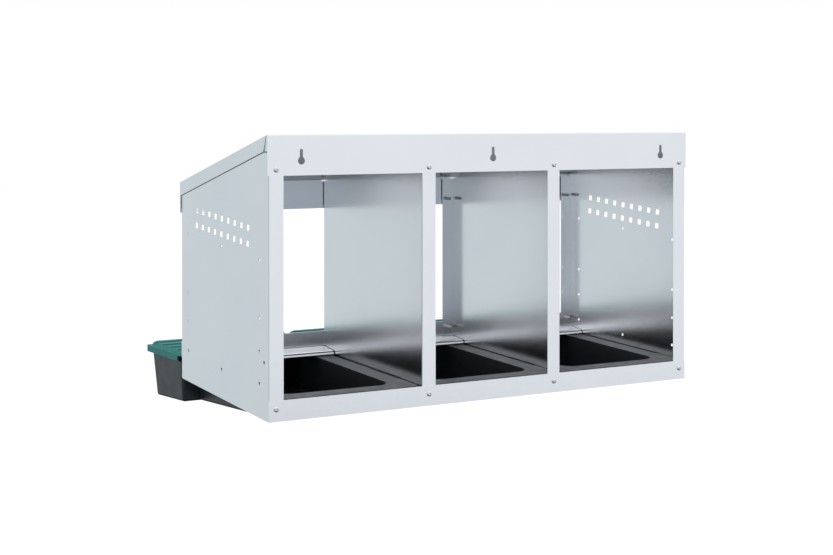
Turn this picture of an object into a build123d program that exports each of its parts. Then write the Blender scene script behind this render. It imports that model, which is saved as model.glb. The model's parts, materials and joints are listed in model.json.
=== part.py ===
from build123d import *
import math
import os

# Wall-hung nesting box with three bays, folded from sheet steel. Each bay holds a plastic
# roll-out tray whose egg bin stands in front of the box under a hinged lid.
# The frame: the wall is the plane Y = 0, the front faces -Y, +Z is up, and the origin is the
# centre keyhole. Depths run forward from the wall, heights run up from the lower back edge.

# Case
SHEET = 0.8
WIDTH = 720.0
BAY = WIDTH / 3
DEPTH = 302.5
BACK_HEIGHT = 386.6
ROOF_FALL = 0.2445
LOWER_EDGE_RISE = 0.06
PANEL_CORNER = 5.0
BEND = 1.2
CUT_MARGIN = 1.0

# Posts: the flanges folded inward from the side panels and dividers
BACK_POST = 22.5
FRONT_POST = 20.3
POST_SCREW_INSET = 11.25
ROOF_GAP = 1.0
FRONT_NOTCH = 26.0
FRONT_NOTCH_DROP = 3.5
LEDGE_CORNER_RISE = 3.6
LEDGE_CORNER_RUN = 2.4

# Roof and header
HEADER_DROP = 55.6
ROOF_OVERLAP = 1.0
ROOF_SIDE_DROP = 20.0
ROOF_FRONT_GAP = 1.8
ROOF_FRONT_BOTTOM = 266.5
SIDE_DROP_TOP_START = 4.5
SIDE_DROP_LOW_START = 13.0
HEADER_TAB_TOP_DEPTH = 2.2
HEADER_TAB_LOW_DEPTH = 9.0
HEADER_TAB_BOTTOM = 364.0
CORNER_NOTCH_DEPTH = 14.0
CORNER_NOTCH_HEIGHT = 362.0
HEM = 6.8
HEM_ROUND = 0.6

# Keyholes
KEYHOLE_HEIGHT = 351.0
KEYHOLE_SPACING = 311.0
KEYHOLE_RADIUS = 5.25
KEYHOLE_SLOT = 4.8
KEYHOLE_RISE = 16.2

# Rails
BACK_RAIL_HEIGHT = 28.6
BACK_RAIL_RETURN = 10.0
FRONT_RAIL_TOP = 73.0
FRONT_RAIL_HEM = 3.4
FRONT_RAIL_ROUND = 0.56
LEDGE_END_GAP = 1.2
LEDGE_TILT = 6.5
NOSE_RADIUS = 5.6
NOSE_DEPTH = 266.0
NOSE_BOTTOM = 40.7
SLOT_CLEARANCE = 0.8

# Side panel vents and unused fixing holes
VENT = 8.4
VENT_COLUMNS = 9
VENT_PITCH = 22.3
VENT_DEPTH = 155.9
VENT_HEIGHT = 254.25
VENT_TILT = 4.8
FIXING_RADIUS = 2.3
BACK_FIXINGS = (48.8, 92.4, 136.9, 216.3)
FRONT_FIXINGS = (62.7, 106.0, 149.2, 236.5)
BACK_FIXING_DEPTH = 29.9
FRONT_FIXING_DEPTH = 276.8
CENTRE_FIXINGS = (50.7, 226.7)
LOWER_FIXING = (14.8, 79.1)

# Screws
SCREW_RADIUS = 1.95
SCREW_HOLE_RADIUS = 2.1
SCREW_LENGTH = 15.0
SCREW_HEAD_RADIUS = 3.7
SCREW_HEAD_HEIGHT = 2.3
SCREW_HEAD_ROUND = 1.8
SCREW_TAPER = 2.9
SCREW_TIP_RADIUS = 0.4
SCREW_RECESS_WIDTH = 0.9
SCREW_RECESS_DEPTH = 1.2
HEADER_SCREW_HEIGHT = 339.3
BACK_RAIL_SCREW_HEIGHT = 17.0
ROOF_FRONT_SCREW_HEIGHT = 276.0
FRONT_RAIL_SCREW_HEIGHT = 65.4

# Trays
TRAY_WALL = 2.5
RIM_HALF_WIDTH = 115.6
RIM_BACK_HALF_WIDTH = 118.0
RIM_BACK_LENGTH = 60.0
RIM_BACK = 2.6
RIM_BACK_HEIGHT = 29.0
RIM_RISE = 0.038
BASIN_HALF_WIDTH = 89.5
BASIN_BACK = 27.5
BASIN_CORNER = 24.0
FLOOR_BACK_HEIGHT = -5.2
FLOOR_FALL = 0.0495
DRAFT = 4.5
BIN_HALF_WIDTH = 117.2
BIN_BACK = 311.0
BIN_FRONT = 431.0
BIN_TOP = 46.8
BIN_CORNER = 5.0
BIN_SHOULDER = 40.4
BASE_FILLET = 4.5
TUB_DEPTH = 90.0
RIM_NOTCH = 5.0

# Lids and their hinges
LID_HALF_WIDTH = 119.2
LID_WALL = 1.6
LID_REAR = 312.3
LID_FRONT = 449.5
LID_SKIRT_REAR = 323.0
LID_SKIRT_BOTTOM = 40.6
LID_SHOULDER = 50.5
LID_TOP = 55.8
LID_PLATFORM_HALF_WIDTH = 114.0
LID_PLATFORM_FRONT = 441.5
LID_PLATFORM_SLOPE = 32.0
LID_CORNER = 4.0
RIB_COUNT = 4
RIB_FIRST = 336.6
RIB_PITCH = 30.9
RIB_WIDTH = 13.0
RIB_HEIGHT = 1.8
RIB_HALF_LENGTH = 112.0
RIB_ROUND = 1.6
HINGE_DEPTH = 317.0
HINGE_HEIGHT = 46.0
PEG_RADIUS = 2.5
PEG_CLEARANCE = 0.06
EAR_RADIUS = 5.5
EAR_INNER = 103.0
EAR_THICKNESS = 3.0
EAR_STEM_BACK = 0.8
EAR_DROP = 16.5
EAR_FOOT = 10.9
LUG_GAP = 0.4
LUG_RADIUS = 5.0

# Runners under the tray rims
RUNNER_WIDTH = 14.0
RUNNER_LEG = 12.0
RUNNER_BACK = 6.0
RUNNER_LENGTH = 254.0
RUNNER_GAP = 0.3

ROOF_HALF_WIDTH = WIDTH / 2 + ROOF_OVERLAP + SHEET
ROOF_FRONT = DEPTH + ROOF_FRONT_GAP + SHEET
BAY_CENTRES = {"left": -BAY, "centre": 0.0, "right": BAY}
WEBS = {"left_panel": -WIDTH / 2, "left_divider": -BAY / 2,
        "right_divider": BAY / 2, "right_panel": WIDTH / 2}


def level(height):
    """Z of a height above the lower back edge of the case."""
    return height - KEYHOLE_HEIGHT


def roof_top(depth):
    """Height of the roof's outer skin."""
    return BACK_HEIGHT - ROOF_FALL * depth


def side(depth, height):
    """Point in the YZ plane from a depth and a height."""
    return (-depth, level(height))


def post_screw(web):
    """X of the screw line through the post folded inward from a web."""
    return web - math.copysign(POST_SCREW_INSET, web)


SCREW_LINES = [post_screw(web) for web in WEBS.values()]


def save(piece, name):
    """Label a finished piece and write its STEP file."""
    piece.part.label = name
    export_step(piece.part, f"parts/{name}.step")


os.makedirs("parts", exist_ok=True)

# Roof: header, sloping top and front apron folded from one sheet, with side drops
with BuildPart() as roof:
    with BuildSketch(Plane.YZ.offset(-ROOF_HALF_WIDTH)):
        with BuildLine():
            FilletPolyline(
                side(0, BACK_HEIGHT - HEADER_DROP),
                side(0, roof_top(0)),
                side(ROOF_FRONT, roof_top(ROOF_FRONT)),
                side(ROOF_FRONT, ROOF_FRONT_BOTTOM),
                radius=BEND,
            )
            offset(amount=SHEET, side=Side.LEFT)
        make_face()
    extrude(amount=2 * ROOF_HALF_WIDTH)
    for drop in (-ROOF_HALF_WIDTH, ROOF_HALF_WIDTH - SHEET):
        with BuildSketch(Plane.YZ.offset(drop)):
            with BuildLine():
                Polyline(
                    side(SIDE_DROP_TOP_START, roof_top(SIDE_DROP_TOP_START) - SHEET / 2),
                    side(ROOF_FRONT - BEND, roof_top(ROOF_FRONT - BEND) - SHEET / 2),
                    side(ROOF_FRONT - SHEET / 2, roof_top(ROOF_FRONT) - BEND),
                    side(ROOF_FRONT - SHEET / 2, roof_top(ROOF_FRONT) - ROOF_SIDE_DROP),
                    side(SIDE_DROP_LOW_START, roof_top(SIDE_DROP_LOW_START) - ROOF_SIDE_DROP),
                    close=True,
                )
            make_face()
            # tab folded forward from the header's end, just behind the side drop
            with BuildLine():
                Polyline(
                    side(SHEET / 2, HEADER_TAB_BOTTOM),
                    side(SHEET / 2, BACK_HEIGHT - 2 * BEND),
                    side(2 * BEND, roof_top(2 * BEND) - SHEET / 2),
                    side(HEADER_TAB_TOP_DEPTH + SHEET, roof_top(HEADER_TAB_TOP_DEPTH) - SHEET),
                    side(HEADER_TAB_LOW_DEPTH, HEADER_TAB_BOTTOM),
                    close=True,
                )
            make_face()
        extrude(amount=SHEET)
    # closed hem folded inward along the apron's lower edge
    with BuildSketch(Plane.YZ.offset(-WIDTH / 2)):
        with Locations(side(ROOF_FRONT - SHEET, ROOF_FRONT_BOTTOM)):
            Rectangle(SHEET, HEM, align=(Align.MIN, Align.MIN))
    extrude(amount=WIDTH)
    with BuildSketch(Plane.XZ.offset(-SCREW_LENGTH)):
        with GridLocations(KEYHOLE_SPACING, 0, 3, 1):
            Circle(KEYHOLE_RADIUS)
            with Locations((0, (KEYHOLE_RISE - KEYHOLE_SLOT / 2) / 2)):
                SlotCenterToCenter(KEYHOLE_RISE - KEYHOLE_SLOT / 2, KEYHOLE_SLOT, rotation=90)
        with Locations(*[(x, level(HEADER_SCREW_HEIGHT)) for x in SCREW_LINES]):
            Circle(SCREW_HOLE_RADIUS)
    extrude(amount=2 * SCREW_LENGTH, mode=Mode.SUBTRACT)
    with BuildSketch(Plane.XZ.offset(DEPTH - SCREW_LENGTH)):
        with Locations(*[(x, level(ROOF_FRONT_SCREW_HEIGHT)) for x in SCREW_LINES]):
            Circle(SCREW_HOLE_RADIUS)
    extrude(amount=2 * SCREW_LENGTH, mode=Mode.SUBTRACT)
save(roof, "roof")


def nose_point(grow, tilt):
    """Depth and height on the rail's rounded nose, grown outward, where it leans by a tilt."""
    reach = NOSE_RADIUS + grow
    lean = math.radians(tilt)
    return (NOSE_DEPTH + NOSE_RADIUS - reach * math.sin(lean),
            NOSE_BOTTOM + reach * math.cos(lean))


def ledge_height(grow, depth):
    """Height of the rail's sloping ledge, grown outward, at a depth."""
    start_depth, start_height = nose_point(grow, LEDGE_TILT)
    return start_height + (depth - start_depth) * math.tan(math.radians(LEDGE_TILT))


def nose_arc(grow):
    """Start, middle and end of the nose's arc as YZ points."""
    return [side(*nose_point(grow, tilt)) for tilt in (LEDGE_TILT, (LEDGE_TILT + 90) / 2, 90)]


def make_upright(web, is_panel):
    """Side panel or divider: a web with back and front posts folded toward the middle."""
    inward = -math.copysign(1.0, web)
    under_roof = roof_top(DEPTH - FRONT_NOTCH) - ROOF_GAP
    with BuildPart() as upright:
        with BuildSketch(Plane.XY.offset(level(0))):
            with BuildLine():
                FilletPolyline(
                    (web + inward * BACK_POST, -SHEET),
                    (web, -SHEET),
                    (web, -DEPTH),
                    (web + inward * FRONT_POST, -DEPTH),
                    radius=BEND,
                )
                offset(amount=SHEET, side=Side.LEFT if inward > 0 else Side.RIGHT)
            make_face()
        extrude(amount=BACK_HEIGHT)
        # trim to the case's side outline
        with BuildSketch(Plane.YZ.offset(web - 1.5 * BACK_POST)) as outline:
            with BuildLine():
                Polyline(
                    side(0, 0),
                    side(0, CORNER_NOTCH_HEIGHT),
                    side(CORNER_NOTCH_DEPTH, CORNER_NOTCH_HEIGHT),
                    side(CORNER_NOTCH_DEPTH, roof_top(CORNER_NOTCH_DEPTH) - ROOF_GAP),
                    side(DEPTH - FRONT_NOTCH, under_roof),
                    side(DEPTH - FRONT_NOTCH, under_roof - FRONT_NOTCH_DROP),
                    side(DEPTH, roof_top(DEPTH) - ROOF_GAP - FRONT_NOTCH_DROP),
                    side(DEPTH, LOWER_EDGE_RISE * DEPTH),
                    close=True,
                )
            make_face()
            if is_panel:
                front_corner = Vector(*side(DEPTH, LOWER_EDGE_RISE * DEPTH))
                fillet(outline.vertices().sort_by_distance(front_corner)[0], PANEL_CORNER)
        extrude(amount=3 * BACK_POST, mode=Mode.INTERSECT)
        # the front post stops above the rail's ledge, so that the tray can slide under it
        inner_start = web + inward * SHEET
        inner_end = web + inward * 2 * FRONT_POST
        with BuildSketch(Plane.YZ.offset(min(inner_start, inner_end))):
            with BuildLine():
                start, middle, end = nose_arc(SLOT_CLEARANCE)
                ThreePointArc(start, middle, end)
                corner_depth = DEPTH - LEDGE_CORNER_RUN
                corner_height = ledge_height(SLOT_CLEARANCE, corner_depth)
                Polyline(
                    end,
                    (end[0], level(-SHEET)),
                    side(DEPTH + SHEET, -SHEET),
                    side(DEPTH + SHEET, corner_height + LEDGE_CORNER_RISE),
                    side(corner_depth, corner_height),
                    start,
                )
            make_face()
        extrude(amount=abs(inner_end - inner_start), mode=Mode.SUBTRACT)
        # screw holes through both posts
        with BuildSketch(Plane.XZ.offset(-SHEET)):
            with Locations((post_screw(web), level(HEADER_SCREW_HEIGHT)),
                           (post_screw(web), level(BACK_RAIL_SCREW_HEIGHT))):
                Circle(SCREW_HOLE_RADIUS)
        extrude(amount=BACK_POST, mode=Mode.SUBTRACT)
        with BuildSketch(Plane.XZ.offset(DEPTH - BACK_POST)):
            with Locations((post_screw(web), level(ROOF_FRONT_SCREW_HEIGHT)),
                           (post_screw(web), level(FRONT_RAIL_SCREW_HEIGHT))):
                Circle(SCREW_HOLE_RADIUS)
        extrude(amount=2 * BACK_POST, mode=Mode.SUBTRACT)
        if is_panel:
            # closed hem along the free edge of the front post, beside the entrance
            with BuildSketch(Plane.XY.offset(level(FRONT_RAIL_TOP))) as hem:
                with Locations((web + inward * FRONT_POST, SHEET - DEPTH)):
                    Rectangle(HEM, SHEET,
                              align=(Align.MAX if inward > 0 else Align.MIN, Align.MIN))
                fillet(hem.vertices().group_by(Axis.Y)[-1], HEM_ROUND)
            extrude(amount=ROOF_FRONT_BOTTOM - FRONT_RAIL_TOP)
            fixings = [side(BACK_FIXING_DEPTH, height) for height in BACK_FIXINGS]
            fixings += [side(FRONT_FIXING_DEPTH, height) for height in FRONT_FIXINGS]
            fixings += [side(VENT_DEPTH, height) for height in CENTRE_FIXINGS]
            fixings.append(side(*LOWER_FIXING))
            with BuildSketch(Plane.YZ.offset(web - BEND)):
                with Locations(Location((*side(VENT_DEPTH, VENT_HEIGHT), 0), -VENT_TILT)):
                    with GridLocations(VENT_PITCH, VENT_PITCH, VENT_COLUMNS, 2):
                        Rectangle(VENT, VENT)
                with Locations(*fixings):
                    Circle(FIXING_RADIUS)
            extrude(amount=2 * BEND, mode=Mode.SUBTRACT)
    return upright


for name, web in WEBS.items():
    save(make_upright(web, is_panel=name.endswith("panel")), name)

# Back rail: a strip across the posts, with a short return under each bay
with BuildPart() as back_rail:
    with BuildSketch(Plane.XZ):
        with Locations((0, level(0))):
            Rectangle(WIDTH, BACK_RAIL_HEIGHT, align=(Align.CENTER, Align.MIN))
        with Locations(*[(x, level(BACK_RAIL_SCREW_HEIGHT)) for x in SCREW_LINES]):
            Circle(SCREW_HOLE_RADIUS, mode=Mode.SUBTRACT)
    extrude(amount=SHEET)
    with BuildSketch(Plane.XY.offset(level(0))):
        for centre in BAY_CENTRES.values():
            with Locations((centre, 0)):
                Rectangle(BAY - 3 * BACK_POST, BACK_RAIL_RETURN, align=(Align.CENTER, Align.MAX))
    extrude(amount=SHEET)
save(back_rail, "back_rail")

# Front rail: an upright strip with a hemmed top, a sloping inward ledge and a rounded nose
with BuildPart() as front_rail:
    with BuildSketch(Plane.YZ.offset(-WIDTH / 2)):
        with BuildLine():
            FilletPolyline(
                side(DEPTH + SHEET, FRONT_RAIL_TOP),
                side(DEPTH + SHEET, ledge_height(-SHEET, DEPTH + SHEET)),
                side(*nose_point(-SHEET, LEDGE_TILT)),
                radius=BEND + SHEET,
            )
            offset(amount=SHEET, side=Side.LEFT)
        make_face()
        with BuildLine():
            ThreePointArc(*nose_arc(0.0))
            offset(amount=SHEET, side=Side.RIGHT)
        make_face()
    extrude(amount=WIDTH)
    # closed hem folded outward along the top
    with BuildSketch(Plane.YZ.offset(-WIDTH / 2)):
        with Locations(side(DEPTH + SHEET, FRONT_RAIL_TOP)):
            Rectangle(SHEET, FRONT_RAIL_HEM, align=(Align.MAX, Align.MAX))
    extrude(amount=WIDTH)
    hem_top = front_rail.edges().filter_by(Axis.X).group_by(Axis.Z)[-1]
    fillet((hem_top.sort_by(Axis.Y)[0], hem_top.sort_by(Axis.Y)[-1]), FRONT_RAIL_ROUND)
    # the ledge is notched round each web
    for web in WEBS.values():
        with BuildSketch(Plane.XY.offset(level(0))):
            with Locations((web - math.copysign(SHEET / 2, web), -DEPTH)):
                Rectangle(SHEET + 2 * LEDGE_END_GAP, DEPTH, align=(Align.CENTER, Align.MIN))
        extrude(amount=FRONT_RAIL_TOP, mode=Mode.SUBTRACT)
    with BuildSketch(Plane.XZ.offset(DEPTH - SCREW_LENGTH)):
        with Locations(*[(x, level(FRONT_RAIL_SCREW_HEIGHT)) for x in SCREW_LINES]):
            Circle(SCREW_HOLE_RADIUS)
    extrude(amount=2 * SCREW_LENGTH, mode=Mode.SUBTRACT)
save(front_rail, "front_rail")

# Self-tapping pan-head screws: header, back rail, roof apron and front rail, one per post
screw_seats = []
for x in SCREW_LINES:
    screw_seats.append(Plane((x, 0, level(HEADER_SCREW_HEIGHT)), z_dir=(0, 1, 0)))
    screw_seats.append(Plane((x, 0, level(BACK_RAIL_SCREW_HEIGHT)), z_dir=(0, 1, 0)))
    screw_seats.append(Plane((x, -ROOF_FRONT, level(ROOF_FRONT_SCREW_HEIGHT)), z_dir=(0, -1, 0)))
    screw_seats.append(
        Plane((x, -DEPTH - SHEET, level(FRONT_RAIL_SCREW_HEIGHT)), z_dir=(0, -1, 0)))
with BuildPart() as screw:
    with BuildSketch(Plane.XZ) as half_profile:
        with BuildLine():
            Polyline(
                (0, SCREW_HEAD_HEIGHT),
                (SCREW_HEAD_RADIUS, SCREW_HEAD_HEIGHT),
                (SCREW_HEAD_RADIUS, 0),
                (SCREW_RADIUS, 0),
                (SCREW_RADIUS, SCREW_TAPER - SCREW_LENGTH),
                (SCREW_TIP_RADIUS, -SCREW_LENGTH),
                (0, -SCREW_LENGTH),
                close=True,
            )
        make_face()
        head_corner = (SCREW_HEAD_RADIUS, SCREW_HEAD_HEIGHT, 0)
        fillet(half_profile.vertices().sort_by_distance(head_corner)[0], SCREW_HEAD_ROUND)
    revolve(axis=Axis.Z)
    # cross recess in the head
    with BuildSketch(Plane.XY.offset(SCREW_HEAD_HEIGHT)):
        Rectangle(SCREW_HEAD_RADIUS, SCREW_RECESS_WIDTH)
        Rectangle(SCREW_RECESS_WIDTH, SCREW_HEAD_RADIUS)
    extrude(amount=-SCREW_RECESS_DEPTH, mode=Mode.SUBTRACT)
with BuildPart() as screws:
    with Locations(*screw_seats):
        add(screw.part)
save(screws, "case_screws")


def rim_plane(drop=0.0):
    """Plane of the tray rim's top, lowered by a drop, with X across and Y toward the wall."""
    return Plane((0, 0, level(RIM_BACK_HEIGHT - drop)), x_dir=(1, 0, 0), z_dir=(0, RIM_RISE, 1))


def floor_plane(rise=0.0):
    """Plane of the tray's underside, raised by a wall's thickness for the inside."""
    return Plane((0, 0, level(FLOOR_BACK_HEIGHT + rise)), x_dir=(1, 0, 0),
                 z_dir=(0, -FLOOR_FALL, 1))


def make_tub(plane, half_width, back, front, corner, inset):
    """Drafted tub standing on the tray's floor, shrunk by a wall's thickness for the inside."""
    narrowing = 2 * TUB_DEPTH * math.tan(math.radians(DRAFT))
    width = 2 * (half_width - inset)
    length = front - back - 2 * inset
    middle = (0, -(back + front) / 2)
    with BuildPart() as tub:
        with BuildSketch(plane):
            with Locations(middle):
                RectangleRounded(width, length, corner - inset)
        with BuildSketch(plane.offset(-TUB_DEPTH)):
            with Locations(middle):
                RectangleRounded(width - narrowing, length - narrowing, corner - inset)
        loft()
        split(bisect_by=floor_plane(inset), keep=Keep.TOP)
        underside = tub.faces().sort_by(Axis.Z)[0]
        fillet(underside.edges(), BASE_FILLET - inset)
    return tub.part


def make_basin(inset=0.0, above=0.0):
    """Basin that runs from behind the rim's opening forward into the egg bin."""
    return make_tub(rim_plane(drop=-above), BASIN_HALF_WIDTH, BASIN_BACK,
                    BIN_BACK + 2 * BASIN_CORNER, BASIN_CORNER, inset)


def make_bin(inset=0.0, above=0.0):
    """Egg bin in front of the case."""
    return make_tub(Plane.XY.offset(level(BIN_TOP + above)), BIN_HALF_WIDTH, BIN_BACK,
                    BIN_FRONT, BIN_CORNER, inset)


def make_tray(centre):
    """Roll-out tray: sliding rim, sloping basin, egg bin and two hinge ears."""
    outside = [make_basin(), make_bin()]
    inside = [make_basin(TRAY_WALL, CUT_MARGIN), make_bin(TRAY_WALL, CUT_MARGIN)]
    with BuildPart() as tray:
        add(outside)
        # rim plate that slides on the runners, with its back corners notched
        with BuildSketch(rim_plane()):
            with Locations((0, -RIM_BACK)):
                Rectangle(2 * RIM_HALF_WIDTH, BIN_BACK + TRAY_WALL - RIM_BACK,
                          align=(Align.CENTER, Align.MAX))
                Rectangle(2 * RIM_BACK_HALF_WIDTH, RIM_BACK_LENGTH,
                          align=(Align.CENTER, Align.MAX))
            with Locations((-RIM_BACK_HALF_WIDTH, -RIM_BACK), (RIM_BACK_HALF_WIDTH, -RIM_BACK)):
                Rectangle(RIM_NOTCH, 3 * RIM_NOTCH, mode=Mode.SUBTRACT)
        extrude(amount=-TRAY_WALL)
        # behind the lid's skirt the bin stops at its shoulder, which leaves room for the hinge
        with BuildSketch(Plane.XY.offset(level(BIN_SHOULDER))):
            with Locations((0, -LID_SKIRT_REAR)):
                Rectangle(2 * BAY, LID_SKIRT_REAR - BIN_BACK + CUT_MARGIN,
                          align=(Align.CENTER, Align.MIN))
        extrude(amount=BIN_TOP, mode=Mode.SUBTRACT)
        add(inside, mode=Mode.SUBTRACT)
        for ear in (EAR_INNER, -EAR_INNER - EAR_THICKNESS):
            with BuildSketch(Plane.YZ.offset(ear)):
                with Locations(side(HINGE_DEPTH, HINGE_HEIGHT)):
                    Circle(EAR_RADIUS)
                # the stem leaves room behind it for the lid's rear edge to swing down
                with Locations(side(HINGE_DEPTH - EAR_STEM_BACK, HINGE_HEIGHT)):
                    Rectangle(EAR_RADIUS + EAR_STEM_BACK, EAR_DROP, align=(Align.MAX, Align.MAX))
                with Locations(side(BIN_BACK + TRAY_WALL / 2, BIN_SHOULDER)):
                    Rectangle(HINGE_DEPTH + EAR_RADIUS - BIN_BACK - TRAY_WALL / 2, EAR_FOOT,
                              align=(Align.MAX, Align.MAX))
                with Locations(side(HINGE_DEPTH, HINGE_HEIGHT)):
                    Circle(PEG_RADIUS + PEG_CLEARANCE, mode=Mode.SUBTRACT)
            extrude(amount=EAR_THICKNESS)
    return tray.part.moved(Location((centre, 0, 0)))


def make_lid():
    """Ribbed lid: shoulder plate, skirt, raised platform, cross ribs and two hinge lugs."""
    length = LID_FRONT - LID_REAR
    with BuildPart() as lid:
        # shoulder plate with the skirt below it
        with BuildSketch(Plane.XY.offset(level(LID_SKIRT_BOTTOM))):
            with Locations((0, -LID_REAR)):
                Rectangle(2 * LID_HALF_WIDTH, length, align=(Align.CENTER, Align.MAX))
        extrude(amount=LID_SHOULDER - LID_SKIRT_BOTTOM)
        fillet(lid.edges().filter_by(Axis.Z).group_by(Axis.Y)[0], LID_CORNER)
        # raised platform with sloping sides
        with BuildSketch(Plane.XY.offset(level(LID_SHOULDER))):
            with Locations((0, -LID_REAR)):
                Rectangle(2 * LID_PLATFORM_HALF_WIDTH, LID_PLATFORM_FRONT - LID_REAR,
                          align=(Align.CENTER, Align.MAX))
        extrude(amount=LID_TOP - LID_SHOULDER, taper=LID_PLATFORM_SLOPE)
        # hollow below the shoulder and the platform
        with BuildSketch(Plane.XY.offset(level(LID_SKIRT_BOTTOM))):
            with Locations((0, -LID_REAR)):
                Rectangle(2 * (LID_HALF_WIDTH - LID_WALL), length - LID_WALL,
                          align=(Align.CENTER, Align.MAX))
        extrude(amount=LID_SHOULDER - LID_SKIRT_BOTTOM - LID_WALL, mode=Mode.SUBTRACT)
        with BuildSketch(Plane.XY.offset(level(LID_SHOULDER - LID_WALL))):
            with Locations((0, -LID_REAR)):
                Rectangle(2 * (LID_PLATFORM_HALF_WIDTH - LID_WALL),
                          LID_PLATFORM_FRONT - LID_REAR - LID_WALL,
                          align=(Align.CENTER, Align.MAX))
        extrude(amount=LID_TOP - LID_SHOULDER, taper=LID_PLATFORM_SLOPE, mode=Mode.SUBTRACT)
        # the skirt stops short of the hinge
        with BuildSketch(Plane.XY.offset(level(LID_SKIRT_BOTTOM))):
            with Locations((0, -LID_SKIRT_REAR)):
                Rectangle(2 * BAY, BAY, align=(Align.CENTER, Align.MIN))
        extrude(amount=LID_SHOULDER - LID_SKIRT_BOTTOM - LID_WALL, mode=Mode.SUBTRACT)
        # cross ribs with rounded ends
        with BuildSketch(Plane.XY.offset(level(LID_SHOULDER))):
            for rib in range(RIB_COUNT):
                with Locations((0, -(RIB_FIRST + rib * RIB_PITCH))):
                    SlotOverall(2 * RIB_HALF_LENGTH, RIB_WIDTH)
        extrude(amount=LID_TOP - LID_SHOULDER + RIB_HEIGHT)
        rib_tops = lid.faces().group_by(Axis.Z)[-1]
        fillet(rib_tops.edges(), RIB_ROUND)
        with BuildSketch(Plane.XY.offset(level(LID_SHOULDER - LID_WALL))):
            for rib in range(RIB_COUNT):
                with Locations((0, -(RIB_FIRST + rib * RIB_PITCH))):
                    SlotOverall(2 * (RIB_HALF_LENGTH - LID_WALL), RIB_WIDTH - 2 * LID_WALL)
        extrude(amount=LID_TOP - LID_SHOULDER + RIB_HEIGHT, mode=Mode.SUBTRACT)
        # lugs with pegs that run in the tray's ears
        for lean in (1, -1):
            inner_face = lean * (EAR_INNER - LUG_GAP)
            with BuildSketch(Plane.YZ.offset(inner_face)):
                with Locations(side(HINGE_DEPTH, HINGE_HEIGHT)):
                    Circle(LUG_RADIUS)
                    Rectangle(2 * LUG_RADIUS, LID_TOP - HINGE_HEIGHT - LID_WALL / 2,
                              align=(Align.CENTER, Align.MIN))
            extrude(amount=-lean * EAR_THICKNESS)
            with BuildSketch(Plane.YZ.offset(inner_face)):
                with Locations(side(HINGE_DEPTH, HINGE_HEIGHT)):
                    Circle(PEG_RADIUS)
            extrude(amount=lean * (LUG_GAP + EAR_THICKNESS))
    return lid.part


tray_template = make_tray(0.0)
lid_template = make_lid()
for bay, centre in BAY_CENTRES.items():
    with BuildPart() as tray:
        with Locations((centre, 0, 0)):
            add(tray_template)
    save(tray, f"{bay}_tray")
    with BuildPart() as lid:
        with Locations((centre, 0, 0)):
            add(lid_template)
    save(lid, f"{bay}_lid")
    # steel angles that carry the tray rim, welded to the webs on either side
    for hand, toward in (("left", -1), ("right", 1)):
        # the dividers' webs stand inside the middle bay, the panels' inside the outer bays
        web_at = centre + toward * BAY / 2
        inside_this_bay = abs(web_at) > BAY or centre == 0.0
        wall_x = web_at - toward * (SHEET if inside_this_bay else 0.0)
        rest_height = RIM_BACK_HEIGHT + RIM_RISE * RUNNER_BACK - TRAY_WALL - RUNNER_GAP
        seat = Plane((wall_x, -RUNNER_BACK, level(rest_height)), x_dir=(1, 0, 0),
                     z_dir=(0, -1, RIM_RISE))
        with BuildPart() as runner:
            with BuildSketch(seat):
                with BuildLine():
                    FilletPolyline(
                        (0, -RUNNER_LEG),
                        (0, 0),
                        (-toward * RUNNER_WIDTH, 0),
                        radius=BEND + SHEET,
                    )
                    offset(amount=SHEET, side=Side.LEFT if toward > 0 else Side.RIGHT)
                make_face()
            extrude(amount=RUNNER_LENGTH)
        save(runner, f"{bay}_bay_{hand}_runner")
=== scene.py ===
import json
import math

import bmesh
import bpy
from mathutils import Matrix, Vector


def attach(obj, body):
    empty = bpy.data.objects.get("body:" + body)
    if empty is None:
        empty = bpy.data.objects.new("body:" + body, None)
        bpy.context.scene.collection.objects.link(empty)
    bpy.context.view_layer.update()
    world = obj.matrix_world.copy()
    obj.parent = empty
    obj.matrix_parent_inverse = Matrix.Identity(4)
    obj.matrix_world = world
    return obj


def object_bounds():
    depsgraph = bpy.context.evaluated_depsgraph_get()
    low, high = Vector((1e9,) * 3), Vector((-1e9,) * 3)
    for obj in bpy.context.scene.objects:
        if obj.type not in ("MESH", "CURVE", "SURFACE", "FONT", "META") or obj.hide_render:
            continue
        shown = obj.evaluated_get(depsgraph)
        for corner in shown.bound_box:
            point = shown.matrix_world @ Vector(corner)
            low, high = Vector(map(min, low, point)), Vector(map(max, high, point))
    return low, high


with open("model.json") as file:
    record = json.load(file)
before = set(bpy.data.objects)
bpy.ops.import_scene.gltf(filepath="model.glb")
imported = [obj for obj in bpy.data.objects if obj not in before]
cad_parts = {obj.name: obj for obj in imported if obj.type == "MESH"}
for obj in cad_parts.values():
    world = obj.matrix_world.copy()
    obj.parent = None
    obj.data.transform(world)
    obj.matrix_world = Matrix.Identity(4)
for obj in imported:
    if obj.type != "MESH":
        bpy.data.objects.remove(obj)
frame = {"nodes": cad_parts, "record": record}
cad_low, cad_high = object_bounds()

# Nesting box seen from its wall side: the header with keyholes and the open backs of the three
# bays face +Y, the egg bins stand out toward -Y. Every length is in metres.

MM = 0.001


# ---------------------------------------------------------------- node helpers

NOISE_ROUGHNESS = 0.5
NOISE_LOW = 0.3
NOISE_HIGH = 0.7


def new_material(name, colour, roughness, metallic=0.0):
    """Material with one Principled shader whose plain values are set on its own sockets."""
    material = bpy.data.materials.new(name)
    material.use_nodes = True
    shader = material.node_tree.nodes["Principled BSDF"]
    shader.inputs["Base Color"].default_value = (*colour, 1.0)
    shader.inputs["Roughness"].default_value = roughness
    shader.inputs["Metallic"].default_value = metallic
    return material, shader


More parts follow.
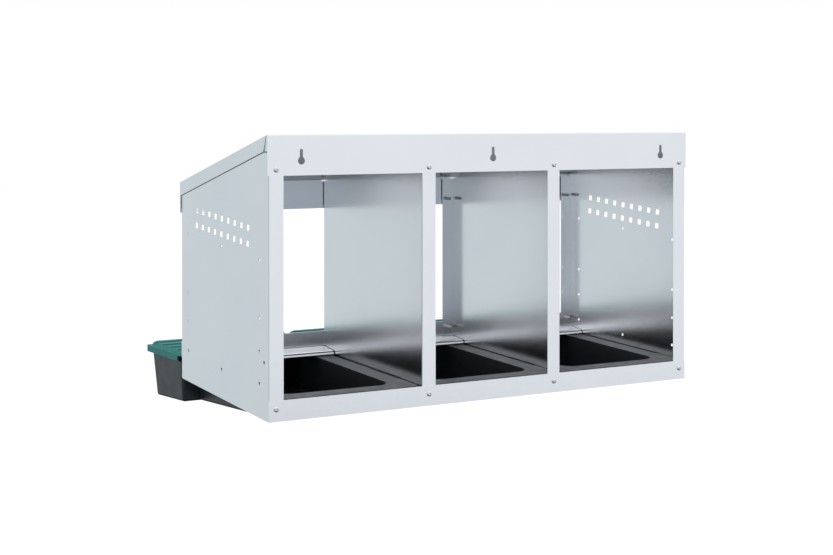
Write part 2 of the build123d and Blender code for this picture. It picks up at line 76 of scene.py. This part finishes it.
def add_node(owner, kind, **inputs):
    """Node of a kind in a material or world, with some of its inputs set by name."""
    node = owner.node_tree.nodes.new(kind)
    for name, value in inputs.items():
        node.inputs[name.replace("_", " ")].default_value = value
    return node


def link(owner, source, target):
    """Joins an output to an input."""
    owner.node_tree.links.new(source, target)


def object_position(owner):
    """Position on the object."""
    return add_node(owner, "ShaderNodeTexCoord").outputs["Object"]


def noise(owner, position, scale, detail=3.0):
    """Noise pattern with a number of features to the metre."""
    pattern = add_node(owner, "ShaderNodeTexNoise", Scale=scale, Detail=detail,
                       Roughness=NOISE_ROUGHNESS)
    link(owner, position, pattern.inputs["Vector"])
    return pattern.outputs["Fac"]


def spread(owner, factor, low, high, start=NOISE_LOW, stop=NOISE_HIGH):
    """Maps a factor from start..stop to low..high."""
    ramp = add_node(owner, "ShaderNodeMapRange", From_Min=start, From_Max=stop,
                    To_Min=low, To_Max=high)
    link(owner, factor, ramp.inputs["Value"])
    return ramp.outputs["Result"]


def blend_colours(owner, factor, low, high):
    """Colour that runs from low to high with the factor."""
    mix = owner.node_tree.nodes.new("ShaderNodeMix")
    mix.data_type = "RGBA"
    mix.inputs["A"].default_value = (*low, 1.0)
    mix.inputs["B"].default_value = (*high, 1.0)
    link(owner, factor, mix.inputs["Factor"])
    return mix.outputs["Result"]


def add_bump(material, shader, height, distance, strength):
    """Fine relief of a real height in metres."""
    bump = add_node(material, "ShaderNodeBump", Distance=distance, Strength=strength)
    link(material, height, bump.inputs["Height"])
    link(material, bump.outputs["Normal"], shader.inputs["Normal"])


# ---------------------------------------------------------------- materials

# Pattern sizes are in features to the metre, and relief is in metres
STEEL_COLOURS = ((0.860, 0.869, 0.880), (0.890, 0.896, 0.904))
STEEL_ROUGHNESS = (0.18, 0.21)
STEEL_CLOUDS = 9.0
STEEL_MOTTLE = 160.0
STEEL_GRAIN = 1800.0
STEEL_RELIEF = 0.001 * MM
STEEL_RELIEF_STRENGTH = 0.3
SCREW_COLOUR = (0.86, 0.86, 0.87)
SCREW_ROUGHNESS = (0.32, 0.44)
SCREW_MOTTLE = 400.0
TRAY_COLOURS = ((0.021, 0.023, 0.027), (0.027, 0.030, 0.034))
TRAY_ROUGHNESS = (0.34, 0.42)
TRAY_SPECULAR = 0.4
TRAY_CLOUDS = 14.0
TRAY_MOTTLE = 60.0
LID_COLOURS = ((0.024, 0.216, 0.186), (0.028, 0.240, 0.208))
LID_ROUGHNESS = (0.46, 0.54)
LID_SPECULAR = 0.2
LID_CLOUDS = 18.0
LID_MOTTLE = 70.0
PLASTIC_GRAIN = 1400.0
PLASTIC_RELIEF = 0.03 * MM
PLASTIC_RELIEF_STRENGTH = 0.6
CLOUD_DETAIL = 4.0
FINE_DETAIL = 2.0


def galvanised_steel():
    """Satin zinc-coated sheet: pale blue grey, faint mottling and a fine grain."""
    material, shader = new_material("galvanised_steel", STEEL_COLOURS[0], STEEL_ROUGHNESS[0], 1.0)
    position = object_position(material)
    cloud = spread(material, noise(material, position, STEEL_CLOUDS, CLOUD_DETAIL), 0.0, 1.0)
    mottle = noise(material, position, STEEL_MOTTLE, FINE_DETAIL)
    link(material, blend_colours(material, cloud, *STEEL_COLOURS), shader.inputs["Base Color"])
    link(material, spread(material, mottle, *STEEL_ROUGHNESS), shader.inputs["Roughness"])
    grain = noise(material, position, STEEL_GRAIN, FINE_DETAIL)
    add_bump(material, shader, grain, STEEL_RELIEF, STEEL_RELIEF_STRENGTH)
    return material


def screw_steel():
    """Bright zinc-plated screws."""
    material, shader = new_material("screw_steel", SCREW_COLOUR, SCREW_ROUGHNESS[0], 1.0)
    mottle = noise(material, object_position(material), SCREW_MOTTLE)
    link(material, spread(material, mottle, *SCREW_ROUGHNESS), shader.inputs["Roughness"])
    return material


def moulded_plastic(name, colours, roughness, specular, clouds, mottle):
    """Satin moulded polypropylene with a fine spark-eroded grain."""
    material, shader = new_material(name, colours[0], roughness[0])
    shader.inputs["Specular IOR Level"].default_value = specular
    position = object_position(material)
    cloud = spread(material, noise(material, position, clouds), 0.0, 1.0)
    link(material, blend_colours(material, cloud, *colours), shader.inputs["Base Color"])
    link(material, spread(material, noise(material, position, mottle), *roughness),
         shader.inputs["Roughness"])
    grain = noise(material, position, PLASTIC_GRAIN, FINE_DETAIL)
    add_bump(material, shader, grain, PLASTIC_RELIEF, PLASTIC_RELIEF_STRENGTH)
    return material


SLOT_MATERIALS = {
    "galvanised_steel": galvanised_steel(),
    "tray_plastic": moulded_plastic("tray_plastic", TRAY_COLOURS, TRAY_ROUGHNESS,
                                    TRAY_SPECULAR, TRAY_CLOUDS, TRAY_MOTTLE),
    "lid_plastic": moulded_plastic("lid_plastic", LID_COLOURS, LID_ROUGHNESS,
                                   LID_SPECULAR, LID_CLOUDS, LID_MOTTLE),
    "screw_steel": screw_steel(),
}


def give_materials():
    """Every CAD node gets the finish of its slot in the record."""
    for part in frame["record"]["subparts"]:
        node = frame["nodes"][part["node"]]
        node.data.materials.clear()
        node.data.materials.append(SLOT_MATERIALS[part["material_slot"]])


give_materials()


# ---------------------------------------------------------------- softened edges

EDGE_ANGLE = math.radians(35.0)
EDGE_SEGMENTS = 2
EDGE_RADIUS = {"tray_plastic": 0.35 * MM, "lid_plastic": 0.3 * MM}


def soften_edges():
    """Small moulded radius along the sharp edges of the plastic pieces."""
    for part in frame["record"]["subparts"]:
        radius = EDGE_RADIUS.get(part["material_slot"])
        if radius is None:
            continue
        bevel = frame["nodes"][part["node"]].modifiers.new("moulded_edges", "BEVEL")
        bevel.width = radius
        bevel.segments = EDGE_SEGMENTS
        bevel.limit_method = "ANGLE"
        bevel.angle_limit = EDGE_ANGLE


soften_edges()


# ---------------------------------------------------------------- screw threads

# Where the CAD screws sit, and the thread's size along and around each shank
BAY = 240.0 * MM
PANEL_X = 1.5 * BAY
DIVIDER_X = 0.5 * BAY
POST_SCREW_INSET = 11.25 * MM
SCREW_LINES = (POST_SCREW_INSET - PANEL_X, POST_SCREW_INSET - DIVIDER_X,
               DIVIDER_X - POST_SCREW_INSET, PANEL_X - POST_SCREW_INSET)
HEADER_SCREW_Z = -11.7 * MM
BACK_RAIL_SCREW_Z = -334.0 * MM
APRON_SCREW_Z = -75.0 * MM
FRONT_RAIL_SCREW_Z = -285.6 * MM
APRON_Y = -305.1 * MM
FRONT_RAIL_Y = -303.3 * MM
THREAD_START = 2.7 * MM
THREAD_TAPER = 11.4 * MM
THREAD_END = 14.6 * MM
THREAD_PITCH = 1.4 * MM
THREAD_ROOT = 1.9 * MM
THREAD_CREST = 2.35 * MM
THREAD_TIP = 0.55 * MM
THREAD_HALF_WIDTH = 0.3 * MM
THREAD_STEPS = 24
THREAD_START_LIFT = 0.05
THREAD_END_LIFT = 0.5
SECTION_CORNERS = 3


def thread_section(shape, along):
    """Corners of the thread's triangular section at a distance down the shank."""
    angle = 2 * math.pi * along / THREAD_PITCH
    fade = max(0.0, (along - THREAD_TAPER) / (THREAD_END - THREAD_TAPER))
    root = THREAD_ROOT + (THREAD_TIP - THREAD_ROOT) * fade
    lift = (THREAD_CREST - THREAD_ROOT) * (1.0 - (1.0 - THREAD_END_LIFT) * fade)
    lift *= min(1.0, (along - THREAD_START) / THREAD_PITCH + THREAD_START_LIFT)
    around = Vector((math.cos(angle), math.sin(angle), 0.0))
    return [shape.verts.new(around * root + Vector((0.0, 0.0, THREAD_HALF_WIDTH - along))),
            shape.verts.new(around * (root + lift) - Vector((0.0, 0.0, along))),
            shape.verts.new(around * root - Vector((0.0, 0.0, THREAD_HALF_WIDTH + along)))]


def add_thread(shape, seat):
    """Helical ridge along a screw's shank, placed on its seat."""
    count = round((THREAD_END - THREAD_START) / THREAD_PITCH * THREAD_STEPS)
    sections = [thread_section(shape, THREAD_START + (THREAD_END - THREAD_START) * step / count)
                for step in range(count + 1)]
    for section in sections:
        for corner in section:
            corner.co = seat @ corner.co
    for here, after in zip(sections, sections[1:]):
        for corner in range(SECTION_CORNERS):
            following = (corner + 1) % SECTION_CORNERS
            shape.faces.new((here[corner], after[corner], after[following], here[following]))
    shape.faces.new(sections[0])
    shape.faces.new(reversed(sections[-1]))


def screw_seats():
    """Frames of the screws: +Z points out of each head."""
    out_of_wall_side = Matrix.Rotation(-math.pi / 2, 4, "X")
    out_of_entrance = Matrix.Rotation(math.pi / 2, 4, "X")
    seats = []
    for x in SCREW_LINES:
        for y, z, turn in ((0.0, HEADER_SCREW_Z, out_of_wall_side),
                           (0.0, BACK_RAIL_SCREW_Z, out_of_wall_side),
                           (APRON_Y, APRON_SCREW_Z, out_of_entrance),
                           (FRONT_RAIL_Y, FRONT_RAIL_SCREW_Z, out_of_entrance)):
            seats.append(Matrix.Translation((x, y, z)) @ turn)
    return seats


def finish_piece(name, shape, material_slot, body):
    """Turns a built shape into a piece that rides on a body."""
    bmesh.ops.recalc_face_normals(shape, faces=shape.faces)
    mesh = bpy.data.meshes.new(name)
    shape.to_mesh(mesh)
    shape.free()
    mesh.materials.append(SLOT_MATERIALS[material_slot])
    piece = bpy.data.objects.new(name, mesh)
    bpy.context.scene.collection.objects.link(piece)
    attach(piece, body)


def make_threads():
    """Rolled threads of the sixteen self-tapping screws."""
    shape = bmesh.new()
    for seat in screw_seats():
        add_thread(shape, seat)
    finish_piece("screw_threads", shape, "screw_steel", "case")


make_threads()


# ---------------------------------------------------------------- stage, light and camera

LAMP_TARGET = (0.0, -0.1, -0.1)
LAMPS = (
    # name, place, size, power in watts, colour
    ("wall_side", (-2.4, 4.2, 0.4), 3.6, 9.0, (1.0, 0.86, 0.92)),
    ("overhead", (0.3, 0.6, 3.0), 2.0, 6.0, (1.0, 1.0, 1.0)),
)
PAPER_ROUGHNESS = 0.9
# Colour of the paper, and the strength of its own white light
FLOOR_PAPER = ((0.30, 0.27, 0.26), 0.83)
BACKDROP_PAPER = ((0.0, 0.0, 0.0), 1.0)
FLOOR_DROP = 0.45
STUDIO_RADIUS = 14.0
STUDIO_SIDES = 64
# The studio's light by direction: heights and sides are parts of a unit vector
LOW_EDGE = -0.50
HIGH_EDGE = -0.20
DIM_SIDE = (0.55, 0.83, 0.0)
DIM_START = 0.60
DIM_FULL = 0.97
LIGHT_BELOW = (0.08, 0.09, 0.11)
LIGHT_AROUND = (0.63, 0.69, 0.725)
LIGHT_DIM = (0.42, 0.47, 0.53)
HIGH_START = 0.08
HIGH_FULL = 0.36
LIGHT_HIGH = (0.94, 0.97, 1.02)


def aim(thing, place, target):
    """Puts a lamp or camera at a place, looking at a target."""
    thing.location = place
    direction = Vector(target) - Vector(place)
    thing.rotation_mode = "QUATERNION"
    thing.rotation_quaternion = direction.to_track_quat("-Z", "Y")


def area_light(name, place, size, power, colour):
    """Large soft square lamp, aimed at the box."""
    data = bpy.data.lights.new(name, "AREA")
    data.shape = "SQUARE"
    data.size = size
    data.energy = power
    data.color = colour
    lamp = bpy.data.objects.new(name, data)
    bpy.context.scene.collection.objects.link(lamp)
    aim(lamp, place, LAMP_TARGET)


def paper(name, colour, glow):
    """Matt paper that shines with its own white light, so that it stays white in the picture."""
    material, shader = new_material(name, colour, PAPER_ROUGHNESS)
    shader.inputs["Specular IOR Level"].default_value = 0.0
    shader.inputs["Emission Color"].default_value = (1.0, 1.0, 1.0, 1.0)
    shader.inputs["Emission Strength"].default_value = glow
    return material


def stage_piece(name, mesh, material):
    """Floor or backdrop: only the camera sees it. The studio's light stands for its reflections."""
    piece = bpy.data.objects.new(name, mesh)
    bpy.context.scene.collection.objects.link(piece)
    mesh.materials.append(material)
    piece.visible_glossy = False
    piece.visible_diffuse = False
    piece.visible_shadow = False


def make_floor():
    """Plain pale floor, below the box, which hangs."""
    mesh = bpy.data.meshes.new("floor")
    shape = bmesh.new()
    bmesh.ops.create_circle(shape, cap_ends=True, segments=STUDIO_SIDES, radius=STUDIO_RADIUS)
    bmesh.ops.translate(shape, verts=shape.verts, vec=(0.0, 0.0, cad_low.z - FLOOR_DROP))
    shape.to_mesh(mesh)
    shape.free()
    stage_piece("floor", mesh, paper("floor_paper", *FLOOR_PAPER))


def make_backdrop():
    """Round white backdrop, far behind the box on every side."""
    mesh = bpy.data.meshes.new("backdrop")
    shape = bmesh.new()
    bmesh.ops.create_uvsphere(shape, u_segments=STUDIO_SIDES, v_segments=STUDIO_SIDES // 2,
                              radius=STUDIO_RADIUS)
    bmesh.ops.reverse_faces(shape, faces=shape.faces)
    shape.to_mesh(mesh)
    shape.free()
    stage_piece("backdrop", mesh, paper("backdrop_paper", *BACKDROP_PAPER))


def make_world():
    """Soft pale studio light, brighter above, dimmer on one side and dark below."""
    world = bpy.data.worlds.new("studio")
    world.use_nodes = True
    background = world.node_tree.nodes["Background"]
    place = add_node(world, "ShaderNodeTexCoord")
    axes = add_node(world, "ShaderNodeSeparateXYZ")
    link(world, place.outputs["Generated"], axes.inputs["Vector"])
    side = world.node_tree.nodes.new("ShaderNodeVectorMath")
    side.operation = "DOT_PRODUCT"
    side.inputs[1].default_value = DIM_SIDE
    link(world, place.outputs["Generated"], side.inputs[0])
    dimness = spread(world, side.outputs["Value"], 0.0, 1.0, DIM_START, DIM_FULL)
    around = blend_colours(world, dimness, LIGHT_AROUND, LIGHT_DIM)
    above = spread(world, axes.outputs["Z"], 0.0, 1.0, HIGH_START, HIGH_FULL)
    upper = blend_colours(world, above, LIGHT_AROUND, LIGHT_HIGH)
    link(world, around, upper.node.inputs["A"])
    level = spread(world, axes.outputs["Z"], 0.0, 1.0, LOW_EDGE, HIGH_EDGE)
    light = blend_colours(world, level, LIGHT_BELOW, LIGHT_AROUND)
    link(world, upper, light.node.inputs["B"])
    link(world, light, background.inputs["Color"])
    background.inputs["Strength"].default_value = 1.0
    bpy.context.scene.world = world


# The camera stands level with the header, behind the wall plane, toward the +X end
CAMERA_PLACE = Vector((1.2845, 1.9427, 0.05855))
CAMERA_DIRECTION = Vector((-0.511, -0.8596, -0.0058))
CAMERA_LENS = 69.15
CAMERA_SHIFT = -0.181
SENSOR_WIDTH = 36.0
CLIP_START = 0.05
CLIP_END = 60.0


def make_camera():
    """Nearly level camera with its picture shifted down onto the box."""
    data = bpy.data.cameras.new("camera")
    data.lens = CAMERA_LENS
    data.sensor_width = SENSOR_WIDTH
    data.shift_y = CAMERA_SHIFT
    data.clip_start = CLIP_START
    data.clip_end = CLIP_END
    camera = bpy.data.objects.new("camera", data)
    bpy.context.scene.collection.objects.link(camera)
    aim(camera, CAMERA_PLACE, CAMERA_PLACE + CAMERA_DIRECTION)
    bpy.context.scene.camera = camera


make_floor()
make_backdrop()
make_world()
for lamp in LAMPS:
    area_light(*lamp)
make_camera()
bpy.context.scene.view_settings.view_transform = "Standard"
